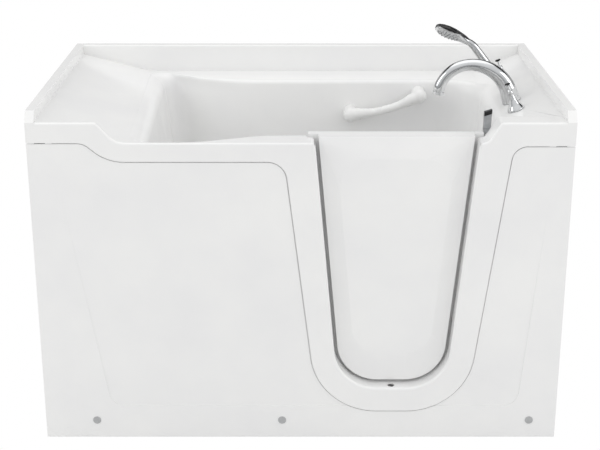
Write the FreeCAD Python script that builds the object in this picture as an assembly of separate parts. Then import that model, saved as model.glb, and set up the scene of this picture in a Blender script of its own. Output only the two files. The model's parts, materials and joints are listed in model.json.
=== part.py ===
import FreeCAD, Part
import math
import os

# Walk-in soaking bathtub. Millimetres, +Z up, +X to the right of someone facing
# the door, +Y away from them. The origin is on the floor under the middle of the tub.

# Whole tub
tub_length = 1524.0
tub_width = 914.0
rim_height = 922.0
deck_rise = 58.0
flange_rise = 88.0
wall = 6.0
overrun = 30.0
running_gap = 0.05
soft_gap = 0.3

# Front rim: high at both ends, lowered between two ramps
left_deck_length = 195.0
left_ramp_length = 53.0
right_deck_length = 208.0
right_ramp_length = 33.5
ramp_top_radius = 13.0
left_ramp_foot_radius = 60.0
right_ramp_foot_radius = 30.0
front_rim_width = 12.0
rim_round = 6.0
front_rim_roll = 5.0
pillar_roll = 12.0
strip_roll = 20.0
headrest_roll = 42.0
faucet_roll = 60.0
ledge_roll = 12.0
frame_roll = 7.0
pillar_corner_radius = 12.0
roll_steps = 6
parallel_share = 1e-6

# Tile flange on the left, back and right
flange_thickness = 25.0
flange_end_slope = 22.0
flange_skin = 5.0
flange_round = 6.0

# Sloped decks behind the front rim
headrest_length = 223.0
headrest_bend = 260.0
faucet_deck_length = 152.0

# Basin in plan at rim level, measured in from the ends, front and back
backrest_inset = 322.0
faucet_end_inset = 177.0
door_wall_inset = 89.0
back_ledge_inset = 175.0
shoulder_back_inset = 40.0
shoulder_lean = 26.0
front_bay_length = 140.0
front_bay_run = 190.0
shoulder_bend_x = 494.0
front_bay_radius = 250.0
shoulder_radius = 450.0
shoulder_corner_radius = 40.0
basin_corner_radius = 60.0
door_corner_radius = 22.0
faucet_corner_radius = 120.0

# Seat and footwell
seat_height = 430.0
seat_left_inset = 377.0
seat_front_inset = 57.0
seat_back_inset = 217.0
seat_corner_back_inset = 147.0
seat_shoulder_x = 522.0
seat_shoulder_radius = 300.0
seat_corner_radius = 50.0
seat_bay_length = 85.0
seat_bay_run = 160.0
seat_bay_radius = 120.0
footwell_right_inset = 227.0
seat_edge = 742.0
floor_height = 140.0
footwell_draft = 18.0
footwell_radius = 70.0
footwell_door_radius = 16.0

# Doorway: a U that narrows to the sill
door_inset = 493.5
door_top_rise = 9.0
sill_height = 167.0
opening_top_width = 459.0
opening_sill_width = 319.0
opening_radius = 130.0
rebate_depth = 60.0
rebate_width = 22.5
weep_radius = 10.0
weep_setback = 20.0

# Door
door_gap = 10.5
door_recess = 27.0
door_roll_depth = 10.0
door_skin_depth = 29.0
door_field_inset = 50.0
door_field_top_drop = 66.0
door_field_sill_rise = 105.0
door_field_radius = 70.0
door_flange_gap = 4.5
door_flange_thickness = 23.0
seal_inner_lap = 4.0
seal_outer_lap = 16.0
seal_top_drop = 30.0

# Door hinges, standing on the wall at the left of the doorway
hinge_clear = 29.0
hinge_height = 80.0
hinge_upper_drop = 122.0
hinge_lower = 490.0
hinge_leaf_thickness = 3.0
hinge_leaf_length = 46.0
hinge_grip = 46.0
knuckle_radius = 6.0
hinge_pin_radius = 3.0
hinge_pin_head = 1.5
knuckle_gap = 0.4
hinge_screw_radius = 2.5
hinge_screw_length = 16.0
hinge_screw_head_radius = 4.5
hinge_screw_head = 2.0
hinge_screw_edge = 16.0
hinge_screw_spacing = 44.0

# Door latch on the wall at the right of the doorway
latch_clear = 28.5
latch_drop = 29.0
latch_base_width = 15.5
latch_base_above = 14.0
latch_base_below = 36.0
latch_base_thickness = 5.0
latch_hub_radius = 11.0
latch_pin_radius = 4.0
latch_pin_head_radius = 7.0
latch_pin_head = 2.5
latch_length = 99.0
latch_root_width = 18.0
latch_tip_width = 22.0
latch_tip_slant = 7.0
latch_tip_shift = 3.0
latch_thickness = 15.0
latch_tongue_start = 24.0
latch_tongue_end = 44.0
latch_gap = 0.5
latch_screw_drop = 24.0

# Apron under the seam
seam_gap = 3.0
seam_lap = 12.0
seam_end_inset = 70.0
seam_middle_drop = 54.0
seam_right_drop = 9.0
seam_bottom_height = 92.0
seam_left_level = 159.0
seam_left_ramp = 63.0
seam_door_left_top = 312.5
seam_door_left_bottom = 216.0
seam_door_right_bottom = 218.0
seam_door_right_top = 322.5
seam_crest_radius = 50.0
seam_dip_radius = 130.0
seam_shoulder_radius = 56.0
seam_foot_radius = 195.0
seam_end_radius = 45.0
apron_recess = 2.0
apron_thickness = 5.0
apron_floor_gap = 3.0
apron_field_depth = 1.6
apron_field_bottom = 108.0
apron_field_fade_drop = 122.0
apron_field_left_top = 82.0
apron_field_left_bottom = 200.0
apron_field_right_top = 58.0
apron_field_right_bottom = 118.0
apron_field_radius = 45.0

# Apron screws and their caps
apron_screw_left_inset = 152.0
apron_screw_door_offset = 324.5
apron_screw_right_inset = 79.0
apron_screw_height = 60.0
apron_screw_radius = 3.0
apron_screw_length = 32.0
apron_screw_head_radius = 6.0
apron_screw_head = 3.0
cap_radius = 12.0
cap_round = 1.2

# Steel base frame
tube = 25.0
tube_wall = 2.0
rail_bottom = 45.0
frame_end_inset = 22.0
seat_member_insets = (412.0, 682.0)
floor_member_insets = (702.0, 432.0)
seat_post_ys = (-250.0, 150.0)
seat_board_thickness = 15.0
seat_board_margin = 24.0
bearer_width = 40.0
bearer_length = 380.0
bearer_y = -50.0

# Levelling feet
foot_end_inset = 202.0
foot_stud_radius = 6.0
foot_stud_top = 100.0
foot_pad_radius = 12.0
foot_pad_top_radius = 9.0
foot_pad_height = 14.0
foot_pad_socket = 8.0
foot_nut_width = 19.0
foot_nut_height = 9.0

# Drain in the footwell floor
drain_inset = 332.0
drain_back_inset = 347.0
drain_flange_radius = 36.0
drain_flange_thickness = 3.0
drain_tube_radius = 20.0
drain_tube_wall = 3.0
drain_tube_length = 44.0
drain_spider_width = 5.0
drain_spider_height = 6.0
drain_hub_radius = 8.0
stopper_radius = 22.0
stopper_thickness = 5.0
stopper_stem_radius = 4.0
stopper_seat_gap = 0.5
stopper_top_share = 0.8
drain_gasket_thickness = 3.0
drain_body_flange_radius = 33.0
drain_body_flange = 6.0
drain_body_radius = 27.0
waste_height = 101.0
waste_radius = 22.0
waste_bore_radius = 19.0
waste_inset = 122.0
waste_outlet_inset = 14.0
waste_socket_radius = 26.0
waste_socket_length = 34.0
waste_socket_depth = 28.0

# Overflow on the wall at the faucet end
overflow_drop = 162.0
overflow_plate_radius = 36.0
overflow_plate_thickness = 6.0
overflow_plate_bore = 12.0
overflow_neck_radius = 17.0
overflow_body_radius = 25.0
overflow_gasket_thickness = 4.0

# Grab bar on the back wall
bar_left_offset = 104.5
bar_left_drop = 101.0
bar_right_offset = 119.5
bar_right_drop = 40.0
bar_stand_off = 47.0
bar_radius = 13.0
bar_sag = 14.0
bar_knob_radius = 24.0
bar_foot_radius = 22.5
bar_taper_radius = 22.8
bar_taper_end_radius = 11.8
bar_taper_length = 78.0
bar_stud_radius = 4.0
bar_stud_grip = 26.0
bar_stud_tail = 24.0
bar_nut_width = 16.0
bar_nut_height = 7.0
bar_washer_radius = 14.0
bar_washer_thickness = 2.0

# Deck faucet: places along the row and common sizes
front_handle_inset = 122.5
front_handle_y = -171.0
spout_inset = 120.0
spout_y = -72.0
shower_inset = 117.0
shower_y = 26.0
rear_handle_inset = 109.0
rear_handle_y = 126.0
deck_hole_radius = 12.0
gasket_thickness = 2.0
shank_radius = 11.5
shank_length = 46.0
deck_nut_width = 34.0
deck_nut_height = 8.0

# Handles
bell_base_radius = 25.0
bell_height = 50.0
bell_waist_radius = 8.5
bell_lip = 4.0
bell_shoulder_radius_share = 0.7
bell_shoulder_height_share = 0.3
bell_neck_radius_share = 1.25
bell_neck_height_share = 0.65
handle_collar_radius = 8.0
handle_collar_height = 7.0
handle_stem_radius = 4.0
handle_height = 81.0
handle_bar_length = 11.0
handle_bar_radius = 3.1
valve_body_radius = 15.0
valve_body_length = 40.0
supply_tail_radius = 10.0
supply_tail_bore = 7.0
supply_tail_length = 70.0
mixed_pipe_radius = 7.0

# Spout
spout_riser = 32.0
spout_rise_radius = 125.0
spout_reach_radius = 96.0
spout_reach_angle = 82.0
spout_base_radius = 29.0
spout_neck_radius = 26.0
spout_crest_radius = 17.6
spout_outlet_radius = 16.4
outlet_ring_radius = 17.6
outlet_ring_length = 8.0
outlet_bore_radius = 11.0

# Hand shower and its holder
holder_base_radius = 21.0
holder_height = 34.0
holder_top_radius = 16.0
holder_bore_radius = 12.0
holder_floor = 6.0
holder_tilt_angle = 16.6
grip_swell_radius = 13.8
grip_swell_height = 96.0
grip_straight = 180.0
grip_bend_radius = 60.0
grip_bend_angle = 27.5
grip_neck_radius = 10.5
head_length = 110.0
head_half_width = 45.0
head_half_depth = 13.0
head_station_shares = (0.16, 0.32, 0.5, 0.68, 0.84, 0.95, 1.0)
head_width_shares = (0.42, 0.76, 0.97, 1.0, 0.82, 0.52, 0.2)
head_depth_shares = (0.82, 0.9, 1.0, 0.98, 0.84, 0.6, 0.25)
head_centre_share = 0.6
head_roll_angle = 22.0
back_cover_thickness = 4.5
back_cover_parting = 3.0
face_drop = 8.0
face_radius = 35.0
face_thickness = 4.0
face_proud = 1.0
nozzle_radius = 1.8
nozzle_length = 2.5
nozzle_counts = (1, 6, 12, 16)
nozzle_ring_radii = (0.0, 11.0, 21.5, 31.0)

tub_height = rim_height + flange_rise
deck_height = rim_height + deck_rise
half_length = tub_length / 2
front = -tub_width / 2
back = tub_width / 2
door_wall = front + door_wall_inset
back_wall = back - back_ledge_inset
basin_left = -half_length + backrest_inset
basin_right = half_length - faucet_end_inset
rebate_face = front + rebate_depth
rail_top = rail_bottom + tube
apron_face = front + apron_recess
apron_back = apron_face + apron_thickness
flange_inner = half_length - flange_thickness
door_centre = half_length - door_inset
door_top = rim_height + door_top_rise
hinge_axis_x = door_centre - opening_top_width / 2 - hinge_clear
hinge_upper = rim_height - hinge_upper_drop
latch_x = door_centre + opening_top_width / 2 + latch_clear
latch_height = rim_height - latch_drop
seam_left_height = rim_height
seam_middle_height = rim_height - seam_middle_drop
seam_right_height = rim_height - seam_right_drop
apron_field_fade = rim_height - apron_field_fade_drop
apron_screw_xs = (-half_length + apron_screw_left_inset, door_centre - apron_screw_door_offset,
                  half_length - apron_screw_right_inset)
seat_member_xs = tuple(-half_length + inset for inset in seat_member_insets)
floor_member_xs = tuple(half_length - inset for inset in floor_member_insets)
foot_xs = (-half_length + foot_end_inset, 0, half_length - foot_end_inset)
drain_x = half_length - drain_inset
drain_y = back - drain_back_inset
overflow_y = drain_y
waste_x = half_length - waste_inset
overflow_height = rim_height - overflow_drop
bar_left_x = door_centre - bar_left_offset
bar_left_height = rim_height - bar_left_drop
bar_right_x = door_centre + bar_right_offset
bar_right_height = rim_height - bar_right_drop
front_handle = (half_length - front_handle_inset, front_handle_y)
spout_foot = (half_length - spout_inset, spout_y)
shower_foot = (half_length - shower_inset, shower_y)
rear_handle = (half_length - rear_handle_inset, rear_handle_y)


def vec(x, y, z):
    return FreeCAD.Vector(x, y, z)


def in_plan(z):
    """Places an (x, y) point at height z."""
    return lambda p: vec(p[0], p[1], z)


def facing(y):
    """Places an (x, z) point on the upright plane at y."""
    return lambda p: vec(p[0], y, p[1])


def grown(corners, grow):
    """Corners of a counter-clockwise outline, each side moved out by grow."""
    moved = []
    for i, (x, y) in enumerate(corners):
        x0, y0 = corners[i - 1]
        x1, y1 = corners[(i + 1) % len(corners)]
        before = math.hypot(x - x0, y - y0)
        after = math.hypot(x1 - x, y1 - y)
        nx0, ny0 = (y - y0) / before, (x0 - x) / before
        nx1, ny1 = (y1 - y) / after, (x - x1) / after
        shift = grow / (1 + nx0 * nx1 + ny0 * ny1)
        moved.append((x + (nx0 + nx1) * shift, y + (ny0 + ny1) * shift))
    return moved


def outline_edges(corners, radii, place, grow=0):
    """Edges through counter-clockwise corners, rounded by tangent arcs."""
    points = grown(corners, grow)
    starts, mids, ends = [], [], []
    for i, (x, y) in enumerate(points):
        x0, y0 = points[i - 1]
        x1, y1 = points[(i + 1) % len(points)]
        before = math.hypot(x0 - x, y0 - y)
        after = math.hypot(x1 - x, y1 - y)
        ux, uy = (x0 - x) / before, (y0 - y) / before
        wx, wy = (x1 - x) / after, (y1 - y) / after
        outward = (x - x0) * (y1 - y) - (y - y0) * (x1 - x) > 0
        radius = radii[i] and radii[i] + (grow if outward else -grow)
        half = math.acos(max(-1, min(1, ux * wx + uy * wy))) / 2
        tangent = radius / math.tan(half)
        bisector = math.hypot(ux + wx, uy + wy)
        depth = radius / math.sin(half) - radius
        starts.append(place((x + ux * tangent, y + uy * tangent)))
        ends.append(place((x + wx * tangent, y + wy * tangent)))
        mids.append(place((x + (ux + wx) / bisector * depth, y + (uy + wy) / bisector * depth)))
    edges = []
    for i, mid in enumerate(mids):
        if radii[i]:
            edges.append(Part.Arc(starts[i], mid, ends[i]).toShape())
        follower = starts[(i + 1) % len(starts)]
        edges.append(Part.LineSegment(ends[i], follower).toShape())
    return edges


def outline(corners, radii, place, grow=0):
    """Closed wire through counter-clockwise corners, rounded by tangent arcs."""
    return Part.Wire(outline_edges(corners, radii, place, grow))


def side_face(a, b):
    """Face between two matching edges, a plane where both are straight and level."""
    ends = [a.valueAt(a.FirstParameter), a.valueAt(a.LastParameter),
            b.valueAt(b.LastParameter), b.valueAt(b.FirstParameter)]
    twist = (ends[1] - ends[0]).normalize().cross((ends[2] - ends[3]).normalize())
    if isinstance(a.Curve, Part.Line) and twist.Length < parallel_share:
        return Part.Face(Part.makePolygon(ends + ends[:1]))
    return Part.makeRuledSurface(a, b)


def stacked(outlines):
    """Solid through closed outlines whose edges match one by one."""
    faces = [Part.Face(Part.Wire(outlines[0])), Part.Face(Part.Wire(outlines[-1]))]
    for lower, upper in zip(outlines, outlines[1:]):
        faces += [side_face(a, b) for a, b in zip(lower, upper)]
    shell = Part.Shell(faces)
    shell.sewShape()
    solid = Part.Solid(shell)
    if solid.Volume < 0:
        solid.reverse()
    return solid


def prism(wire, direction):
    return Part.Face(wire).extrude(direction)


def box(x0, x1, y0, y1, z0, z1):
    return Part.makeBox(x1 - x0, y1 - y0, z1 - z0, vec(x0, y0, z0))


def rod(radius, start, end):
    """Cylinder between two points."""
    return Part.makeCylinder(radius, (end - start).Length, start, end - start)


def hex_nut(width, height, bore, centre, axis):
    """Hexagon nut standing on centre along axis."""
    angles = [math.radians(60 * i) for i in range(6)]
    corner = width / math.sqrt(3)
    points = [vec(corner * math.cos(a), corner * math.sin(a), 0) for a in angles]
    nut = prism(Part.makePolygon(points + points[:1]), vec(0, 0, height))
    nut = nut.cut(Part.makeCylinder(bore, height))
    turn = FreeCAD.Rotation(vec(0, 0, 1), axis)
    nut.Placement = FreeCAD.Placement(centre, turn)
    return nut


def turned(profile):
    """Solid of revolution about Z from (radius, height) points."""
    points = [vec(r, 0, z) for r, z in profile]
    face = Part.Face(Part.makePolygon(points + points[:1]))
    return face.revolve(vec(0, 0, 0), vec(0, 0, 1), 360)


def joined(solids):
    whole = solids[0].multiFuse(solids[1:]) if len(solids) > 1 else solids[0]
    return whole.removeSplitter()


def group(solids):
    return Part.makeCompound(solids)


def rim_profile():
    """Front rim as seen from the front: deck, ramp, low rim, ramp, deck."""
    left_top = -half_length + left_deck_length
    right_top = half_length - right_deck_length
    corners = [(-half_length, 0), (half_length, 0), (half_length, deck_height),
               (right_top, deck_height), (right_top - right_ramp_length, rim_height),
               (left_top + left_ramp_length, rim_height), (left_top, deck_height),
               (-half_length, deck_height)]
    radii = [0, 0, 0, ramp_top_radius, right_ramp_foot_radius,
             left_ramp_foot_radius, ramp_top_radius, 0]
    return corners, radii


def deck_profile():
    """Decks behind the front rim: headrest slope, low ledge, faucet slope."""
    headrest_end = -flange_inner + headrest_length
    faucet_start = flange_inner - faucet_deck_length
    corners = [(-half_length, 0), (half_length, 0), (half_length, deck_height),
               (flange_inner, deck_height), (faucet_start, rim_height),
               (headrest_end, rim_height), (-flange_inner, deck_height),
               (-half_length, deck_height)]
    radii = [0, 0, 0, 0, 0, headrest_bend, 0, 0]
    return corners, radii


def profile_slab(profile, y0, y1, x0, x1, drop=0):
    """Part of a profile between two cross planes, lowered by drop."""
    corners, radii = profile
    slab = prism(outline(corners, radii, facing(y0)), vec(0, y1 - y0, 0))
    slab.translate(vec(0, 0, -drop))
    return slab.common(box(x0, x1, y0, y1, -drop - overrun, tub_height))


def quarter_turns():
    """Angles in radians that step through a quarter turn."""
    return [math.pi / 2 * step / roll_steps for step in range(roll_steps + 1)]


def rolled_strip(drop):
    """Inner edge of the front strip right of the door, rounded down to the basin."""
    corners, radii = rim_profile()
    levels = []
    for angle in quarter_turns():
        fall = drop + strip_roll * (1 - math.cos(angle))
        lowered = [(x, z - fall) for x, z in corners]
        place = facing(door_wall - strip_roll * (1 - math.sin(angle)))
        levels.append(outline_edges(lowered, radii, place))
    return stacked(levels).common(box(door_centre, half_length, door_wall - strip_roll, door_wall,
                                      -drop, tub_height))


def deck_block(drop=0):
    """Everything below the top surface of rim and decks."""
    bay_end = basin_left + front_bay_length
    rim_back = front + front_rim_width
    roll_start = door_wall - strip_roll
    return joined([
        profile_slab(rim_profile(), front, rim_back, -half_length, half_length, drop),
        profile_slab(rim_profile(), rim_back, door_wall, bay_end, door_centre, drop),
        profile_slab(rim_profile(), rim_back, roll_start, door_centre, half_length, drop),
        rolled_strip(drop),
        profile_slab(deck_profile(), rim_back, door_wall, -half_length, bay_end, drop),
        profile_slab(deck_profile(), rim_back, door_wall, basin_right, half_length, drop),
        profile_slab(deck_profile(), door_wall, back, -half_length, half_length, drop)])


def roll_out(radius, depth):
    """How far a rounded edge stands out at a depth below its top."""
    rise = min(max(radius - depth, 0), radius)
    return radius - math.sqrt(radius ** 2 - rise ** 2)


def faucet_roll_heights():
    """Foot and top of the rounded edge between faucet-end wall and faucet deck."""
    normal, steepness = slope_frame()
    foot = rim_height + faucet_roll * steepness - faucet_roll / normal.z
    return foot, foot + faucet_roll * normal.z


def mouth_heights():
    """Heights of the outlines that round the basin's mouth, from the lowest up."""
    foot, top = faucet_roll_heights()
    heights = [rim_height - headrest_roll * (1 - math.sin(angle)) for angle in quarter_turns()]
    return heights + [(rim_height + top) / 2, top]


def mouth_plan(height):
    """Inside edge of the rounded mouth at a height, without the lean of the walls."""
    depth = rim_height - height
    foot, top = faucet_roll_heights()
    left = basin_left - roll_out(headrest_roll, depth)
    right = basin_right + roll_out(faucet_roll, foot + faucet_roll - height)
    bay_front = front + front_rim_width - roll_out(front_rim_roll, depth)
    bay_end = basin_left + front_bay_length
    ledge = roll_out(ledge_roll, depth)
    corners = [(left, bay_front), (bay_end, bay_front),
               (bay_end + front_bay_run, door_wall - roll_out(pillar_roll, depth)),
               (right, door_wall), (right, back_wall + ledge),
               (-half_length + shoulder_bend_x, back_wall + ledge),
               (left - shoulder_lean, back - shoulder_back_inset + ledge)]
    radii = [basin_corner_radius, front_bay_radius, front_bay_radius, door_corner_radius,
             faucet_corner_radius, shoulder_radius, shoulder_corner_radius]
    return corners, radii


def seat_plan():
    """Inside edge of the basin at seat level."""
    left = -half_length + seat_left_inset
    right = half_length - footwell_right_inset
    seat_front = front + seat_front_inset
    corners = [(left, seat_front), (left + seat_bay_length, seat_front),
               (left + seat_bay_length + seat_bay_run, door_wall), (right, door_wall),
               (right, back - seat_back_inset),
               (-half_length + seat_shoulder_x, back - seat_back_inset),
               (left, back - seat_corner_back_inset)]
    radii = [basin_corner_radius, seat_bay_radius, seat_bay_radius, door_corner_radius,
             faucet_corner_radius, seat_shoulder_radius, seat_corner_radius]
    return corners, radii


def footwell_plan(draft):
    """Inside edge of the footwell, drawn in by draft except at the door wall."""
    left = -half_length + seat_edge + draft
    right = half_length - footwell_right_inset - draft
    back_edge = back - seat_back_inset - draft
    corners = [(left, door_wall), (right, door_wall), (right, back_edge), (left, back_edge)]
    radii = [footwell_door_radius, footwell_door_radius, footwell_radius, footwell_radius]
    return corners, radii


def basin_plan(height):
    """Inside edge of the basin at a height of its mouth."""
    corners, radii = mouth_plan(height)
    seat_corners, seat_radii = seat_plan()
    share = max(rim_height - height, 0) / (rim_height - seat_height)
    leaning = [(x + (sx - x) * share, y + (sy - y) * share)
               for (x, y), (sx, sy) in zip(corners, seat_corners)]
    return leaning, [r + (sr - r) * share for r, sr in zip(radii, seat_radii)]


def basin(grow):
    """Space inside the basin, grown by grow on every side."""
    corners, radii = seat_plan()
    levels = [outline_edges(corners, radii, in_plan(seat_height - grow), grow)]
    for height in mouth_heights():
        corners, radii = basin_plan(height)
        levels.append(outline_edges(corners, radii, in_plan(height), grow))
    upper = stacked(levels)
    mouth = prism(Part.Wire(levels[-1]), vec(0, 0, tub_height + overrun - mouth_heights()[-1]))
    corners, radii = footwell_plan(0)
    well_top = outline_edges(corners, radii, in_plan(seat_height), grow)
    corners, radii = footwell_plan(footwell_draft)
    well_floor = outline_edges(corners, radii, in_plan(floor_height - grow), grow)
    return joined([mouth, upper, stacked([well_floor, well_top])])


def doorway_outline(y, grow):
    """Outline of the door opening on the upright plane at y, grown by grow."""
    sill_half = opening_sill_width / 2
    widening = (opening_top_width - opening_sill_width) / 2 / (door_top - sill_height)
    top_half = sill_half + widening * (tub_height + overrun - sill_height)
    corners = [(door_centre - sill_half, sill_height), (door_centre + sill_half, sill_height),
               (door_centre + top_half, tub_height + overrun),
               (door_centre - top_half, tub_height + overrun)]
    return outline_edges(corners, [opening_radius, opening_radius, 0, 0], facing(y), grow)


def doorway_mouth():
    """Space taken by the rounded front edge of the door frame."""
    levels = []
    for angle in quarter_turns():
        levels.append(doorway_outline(front + frame_roll * (1 - math.cos(angle)),
                                      frame_roll * (1 - math.sin(angle))))
    return stacked(levels)


def doorway(grow, y0, y1, top=tub_height + overrun):
    """U-shaped prism of the door opening, grown by grow, open at the top."""
    solid = prism(Part.Wire(doorway_outline(y0, grow)), vec(0, y1 - y0, 0))
    return solid.common(box(-half_length, half_length, y0, y1, 0, top))


def door_edge_x(height, grow):
    """Left edge of the door opening at a height, grown by grow."""
    share = (height - sill_height) / (door_top - sill_height)
    return door_centre - (opening_sill_width + share * (opening_top_width - opening_sill_width)) / 2 - grow


def skirt_prism(grow, y0, y1):
    """Region above the seam and round the doorway, grown by grow."""
    ramp_start = -half_length + seam_left_level
    corners = [(-half_length - overrun, seam_left_height), (ramp_start, seam_left_height),
               (ramp_start + seam_left_ramp, seam_middle_height),
               (door_centre - seam_door_left_top, seam_middle_height),
               (door_centre - seam_door_left_bottom, seam_bottom_height),
               (door_centre + seam_door_right_bottom, seam_bottom_height),
               (door_centre + seam_door_right_top, seam_right_height),
               (half_length + overrun, seam_right_height),
               (half_length + overrun, tub_height + overrun),
               (-half_length - overrun, tub_height + overrun)]
    radii = [0, seam_crest_radius, seam_dip_radius, seam_shoulder_radius, seam_foot_radius,
             seam_foot_radius, seam_end_radius, 0, 0, 0]
    return prism(outline(corners, radii, facing(y0), grow), vec(0, y1 - y0, 0))


def seam_lip():
    """Edge of the skirt, stepped back behind the apron to close the seam."""
    lip_front = apron_back + soft_gap
    lip_back = lip_front + wall
    step = skirt_prism(seam_lap, lip_front, lip_back)
    lip = joined([step, skirt_prism(0, front, lip_back)])
    lip = lip.cut(skirt_prism(-seam_lap, front - overrun, lip_back + overrun))
    reach = half_length - seam_end_inset
    return lip.common(box(-reach, reach, front, lip_back, 0, tub_height))


def pillar_corners():
    """Waste beside the door at rim level that leaves the frame's upper corners round."""
    waste = []
    for side in (-1, 1):
        edge = door_centre + side * (door_centre - door_edge_x(rim_height, 0))
        inner = edge + side * pillar_corner_radius
        low = rim_height - pillar_corner_radius
        block = box(min(edge, inner), max(edge, inner), front, rebate_face, low, rim_height + overrun)
        corner = rod(pillar_corner_radius, vec(inner, front, low), vec(inner, rebate_face, low))
        waste.append(block.cut(corner))
    return waste


def flange_band(inset, inner, bottom, top):
    """U-shaped upright band along the left, back and right edges."""
    outer_x, outer_y = half_length - inset, back - inset
    band = box(-outer_x, outer_x, front, outer_y, bottom, top)
    return band.cut(box(-inner, inner, front - overrun, outer_y - inner_step(inset, inner), bottom, top))


def inner_step(inset, inner):
    """Thickness of a flange band from its outer to its inner face."""
    return half_length - inset - inner


def tile_flange():
    """Upstand with its front ends sloped down to the rim."""
    band = flange_band(0, flange_inner, seam_left_height, tub_height)
    slope = [vec(0, front, deck_height), vec(0, front + flange_end_slope, tub_height),
             vec(0, front, tub_height)]
    wedge = prism(Part.makePolygon(slope + slope[:1]), vec(tub_length, 0, 0))
    wedge.translate(vec(-half_length, 0, 0))
    return band.cut(wedge)


def flange_hollow():
    """Space inside the folded flange, open downwards."""
    hollow = flange_band(wall, flange_inner + flange_skin, seam_left_height - overrun, tub_height - wall)
    return hollow.cut(box(-half_length, half_length, front, front + flange_end_slope + wall, 0, tub_height))


def edges_at(shape, y, z):
    """Straight edges that run along X at y and z."""
    found = []
    for edge in shape.Edges:
        size = edge.BoundBox
        spread = max(abs(size.YMin - y), abs(size.YMax - y), abs(size.ZMin - z), abs(size.ZMax - z))
        if spread < running_gap:
            found.append(edge)
    return found


def thick_tub(cavity):
    """Tub before hollowing: rims, decks and flange, with the basin cut out."""
    solid = joined([deck_block(), tile_flange()]).cut(cavity)
    solid = solid.makeFillet(rim_round, edges_at(solid, front, rim_height))
    return solid.makeFillet(flange_round, edges_at(solid, back - flange_thickness, tub_height))


def slope_frame():
    """Unit vector square to the faucet deck, and the deck's height at x."""
    rise = deck_height - rim_height
    length = math.hypot(faucet_deck_length, rise)
    normal = vec(-rise / length, 0, faucet_deck_length / length)
    return normal, rise / faucet_deck_length


def deck_point(place):
    """Point of the faucet row on the sloped deck."""
    normal, steepness = slope_frame()
    start = flange_inner - faucet_deck_length
    return vec(place[0], place[1], rim_height + (place[0] - start) * steepness)


def on_deck(shape, place):
    """Stands a piece made along Z on the faucet deck."""
    normal, steepness = slope_frame()
    lean = math.degrees(math.atan2(normal.x, normal.z))
    stand = FreeCAD.Placement(deck_point(place), FreeCAD.Rotation(vec(0, 1, 0), lean))
    shape.Placement = stand.multiply(shape.Placement)
    return shape


def wall_lean(top_inset, low_inset):
    """Horizontal run of a basin wall per unit of height."""
    return (low_inset - top_inset) / (rim_height - seat_height)


def overflow_place():
    """Point on the faucet-end wall and the wall's outward unit vector."""
    lean = wall_lean(faucet_end_inset, footwell_right_inset)
    x = basin_right - lean * (rim_height - overflow_height)
    size = math.hypot(1, lean)
    return vec(x, overflow_y, overflow_height), vec(1 / size, 0, -lean / size)


def bar_ends():
    """Points where the grab bar meets the back wall."""
    lean = wall_lean(back_ledge_inset, seat_back_inset)
    ends = []
    for x, z in ((bar_left_x, bar_left_height), (bar_right_x, bar_right_height)):
        ends.append(vec(x, back_wall - lean * (rim_height - z), z))
    return ends


def hinge_screw_points(side):
    """Screw places on the wall leaves (side -1) or door leaves (side 1)."""
    points = []
    for height in (hinge_upper, hinge_lower):
        x = hinge_axis_x - hinge_leaf_length + hinge_screw_edge
        if side > 0:
            x = door_edge_x(height, rebate_width - door_flange_gap) + hinge_grip - hinge_screw_edge
        for turn in (-1, 1):
            points.append((x, height + turn * hinge_screw_spacing / 2))
    return points


def wall_screws(points, seat):
    """Screws driven towards the front, heads standing on the plane at seat."""
    solids = []
    for x, z in points:
        shank = rod(hinge_screw_radius, vec(x, seat - hinge_screw_length, z), vec(x, seat, z))
        head = rod(hinge_screw_head_radius, vec(x, seat, z), vec(x, seat + hinge_screw_head, z))
        solids.append(joined([shank, head]))
    return solids


def latch_screw_points():
    return [(latch_x, latch_height - latch_screw_drop)]


def make_tub_shell(cavity):
    lip = deck_height - seam_left_height
    block = deck_block()
    under = deck_block(wall)
    skin = block.cut(under)
    inside = box(-half_length + wall, half_length - wall, front + wall, back - wall, 0, deck_height)
    flange = tile_flange().cut(under.common(inside))
    skirt = skirt_prism(0, front, front + wall).common(block)
    basin_wall = basin(wall).common(block)
    jamb = joined([doorway(wall, front, rebate_face),
                   doorway(rebate_width + wall, rebate_face - wall, door_wall)]).common(block)
    end_lips = [box(s, s + wall, front, back, deck_height - lip, deck_height)
                for s in (-half_length, half_length - wall)]
    back_lip = box(-half_length, half_length, back - wall, back, rim_height - lip, rim_height)
    skins = joined([skin, skirt, seam_lip(), basin_wall, jamb, back_lip, flange] + end_lips)
    shell = thick_tub(cavity).common(skins).cut(flange_hollow())
    openings = pillar_corners()
    openings.append(doorway_mouth())
    openings.append(doorway(0, front - overrun, rebate_face))
    openings.append(doorway(rebate_width, rebate_face, door_wall + overrun))
    openings.append(rod(weep_radius, vec(door_centre, front + weep_setback, sill_height - overrun),
                        vec(door_centre, front + weep_setback, sill_height + overrun)))
    openings.append(rod(drain_tube_radius, vec(drain_x, drain_y, floor_height - overrun),
                        vec(drain_x, drain_y, floor_height + overrun)))
    point, outward = overflow_place()
    openings.append(rod(overflow_neck_radius, point - outward * overrun, point + outward * overrun))
    for end in bar_ends():
        openings.append(rod(bar_stud_radius + soft_gap, end - vec(0, overrun, 0),
                            end + vec(0, overrun, 0)))
    for place in (front_handle, spout_foot, shower_foot, rear_handle):
        hole = Part.makeCylinder(deck_hole_radius, 2 * overrun, vec(0, 0, -overrun))
        openings.append(on_deck(hole, place))
    for x, z in hinge_screw_points(-1) + latch_screw_points():
        openings.append(rod(hinge_screw_radius, vec(x, door_wall - overrun, z), vec(x, door_wall, z)))
    for opening in openings:
        shell = shell.cut(opening)
    return shell


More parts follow.
